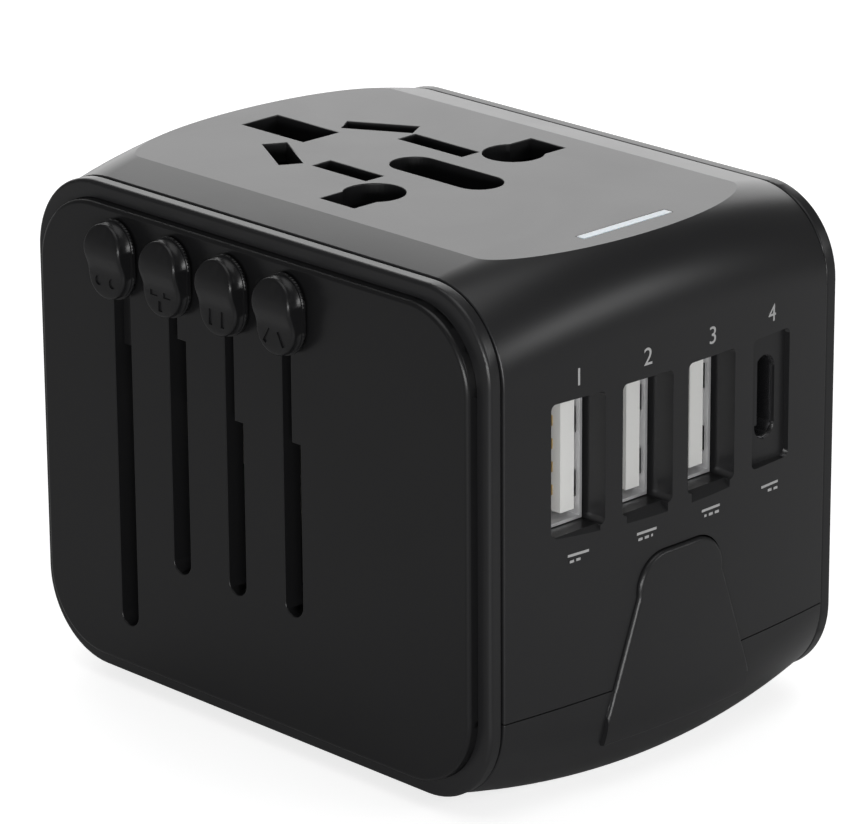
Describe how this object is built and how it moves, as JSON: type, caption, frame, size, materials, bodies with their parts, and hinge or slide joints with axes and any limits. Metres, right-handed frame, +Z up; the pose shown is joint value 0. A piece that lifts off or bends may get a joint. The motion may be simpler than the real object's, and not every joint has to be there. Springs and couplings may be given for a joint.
{
  "type": "travel adapter",
  "caption": "Barrel-shaped universal travel adapter with a universal socket on top, sliding plugs, USB-A and USB-C ports and a slotted slider panel",
  "frame": {"origin": "middle of the flat bottom plug face", "axes": "+X towards the USB side, across the slider panel; +Y away from the slider panel; +Z up through the socket face"},
  "size_m": [0.0676, 0.0528, 0.053],
  "materials": {
    "housing_plastic": "Fine satin black polycarbonate",
    "panel_plastic": "Smooth dark panel plastic",
    "inner_plastic": "Plain dark grey nylon",
    "pin_metal": "Nickel plated brass",
    "contact_brass": "Bare rolled brass",
    "spring_steel": "Bright spring steel",
    "port_shell": "Nickel plated port shell",
    "tongue_plastic": "Light moulded port tongue",
    "light_guide": "Milky translucent light guide",
    "circuit_board": "Green solder mask on glass laminate",
    "component_black": "Moulded chip package",
    "winding_copper": "Varnished copper winding",
    "ceramic_white": "White fuse ceramic",
    "can_aluminium": "Sleeved aluminium can"
  },
  "bodies": {
    "housing": {"main_housing": "housing_plastic", "lower_cover": "housing_plastic", "front_frame": "housing_plastic", "rear_frame": "housing_plastic", "front_panel": "panel_plastic", "rear_panel": "panel_plastic", "guide_rods": "spring_steel", "contact_block": "inner_plastic", "line_contact": "contact_brass", "neutral_contact": "contact_brass", "earth_contact": "contact_brass", "usb_board": "circuit_board", "usb_a_shells": "port_shell", "usb_a_tongues": "tongue_plastic", "usb_a_contacts": "contact_brass", "usb_c_shell": "port_shell", "usb_c_tongue": "component_black", "usb_controller": "component_black", "light_bar": "light_guide", "led_chip": "light_guide", "power_board": "circuit_board", "transformer_core": "component_black", "transformer_winding": "winding_copper", "capacitors": "can_aluminium", "power_chip": "component_black", "fuse_board": "circuit_board", "fuse_tube": "ceramic_white", "fuse_caps": "pin_metal", "fuse_clips": "contact_brass", "housing_screws": "spring_steel", "shutter_spring": "spring_steel"},
    "shutter": {"shutter": "inner_plastic"},
    "eu_carriage": {"eu_carriage": "inner_plastic", "eu_pins": "pin_metal", "eu_knob_spring": "spring_steel"},
    "eu_knob": {"eu_knob": "panel_plastic"},
    "uk_carriage": {"uk_carriage": "inner_plastic", "uk_pins": "pin_metal", "uk_knob_spring": "spring_steel"},
    "uk_knob": {"uk_knob": "panel_plastic"},
    "us_carriage": {"us_carriage": "inner_plastic", "us_pins": "pin_metal", "us_knob_spring": "spring_steel"},
    "us_knob": {"us_knob": "panel_plastic"},
    "au_carriage": {"au_carriage": "inner_plastic", "au_pins": "pin_metal", "au_knob_spring": "spring_steel"},
    "au_knob": {"au_knob": "panel_plastic"}
  },
  "joints": [
    {"name": "eu_slide", "type": "slide", "parent": "housing", "child": "eu_carriage", "axis": [0, 0, -1], "range_m": [0, 0.0284]},
    {"name": "eu_press", "type": "slide", "parent": "eu_carriage", "child": "eu_knob", "axis": [0, 1, 0], "range_m": [0, 0.00045], "stiffness_N_per_m": 400, "deforming": ["eu_knob_spring"]},
    {"name": "uk_slide", "type": "slide", "parent": "housing", "child": "uk_carriage", "axis": [0, 0, -1], "range_m": [0, 0.0284]},
    {"name": "uk_press", "type": "slide", "parent": "uk_carriage", "child": "uk_knob", "axis": [0, 1, 0], "range_m": [0, 0.00045], "stiffness_N_per_m": 400, "deforming": ["uk_knob_spring"]},
    {"name": "us_slide", "type": "slide", "parent": "housing", "child": "us_carriage", "axis": [0, 0, -1], "range_m": [0, 0.0284]},
    {"name": "us_press", "type": "slide", "parent": "us_carriage", "child": "us_knob", "axis": [0, 1, 0], "range_m": [0, 0.00045], "stiffness_N_per_m": 400, "deforming": ["us_knob_spring"]},
    {"name": "au_slide", "type": "slide", "parent": "housing", "child": "au_carriage", "axis": [0, 0, -1], "range_m": [0, 0.0284]},
    {"name": "au_press", "type": "slide", "parent": "au_carriage", "child": "au_knob", "axis": [0, 1, 0], "range_m": [0, 0.00045], "stiffness_N_per_m": 400, "deforming": ["au_knob_spring"]},
    {"name": "shutter_slide", "type": "slide", "parent": "housing", "child": "shutter", "axis": [1, 0, 0], "range_m": [0, 0.0068], "stiffness_N_per_m": 60, "deforming": ["shutter_spring"]}
  ]
}
